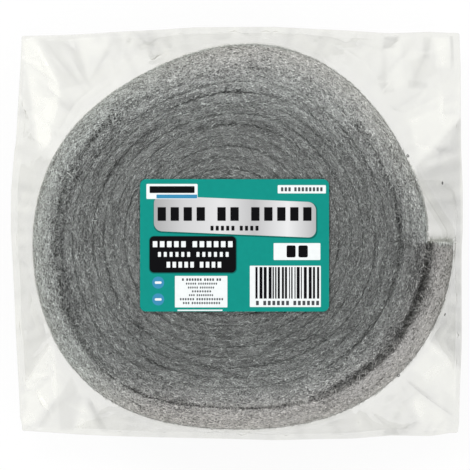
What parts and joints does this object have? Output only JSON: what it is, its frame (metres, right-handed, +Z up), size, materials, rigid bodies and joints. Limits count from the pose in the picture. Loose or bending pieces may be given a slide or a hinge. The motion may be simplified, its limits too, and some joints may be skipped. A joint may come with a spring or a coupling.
{
  "type": "steel wool roll",
  "caption": "Flat-lying spiral roll of steel wool ribbon with a loose cut end, sealed in a clear bag with a printed label on its upper face.",
  "frame": {"origin": "middle of the underside of the bag, at the centre of the box around the whole object, where it rests on the bench", "axes": "+Z up along the roll's axis, out of the labelled face; +X towards the ribbon's cut end; +Y towards the label's upper edge"},
  "size_m": [0.394, 0.3604, 0.1018],
  "materials": {
    "wool": "dull fibrous steel, fine strands lying along the winding",
    "film": "thin clear film, glossy, slightly milky, creased",
    "label": "smooth printed sheet, satin"
  },
  "bodies": {
    "root": {"wool_roll": "wool", "bag": "film", "label": "label"}
  },
  "joints": []
}
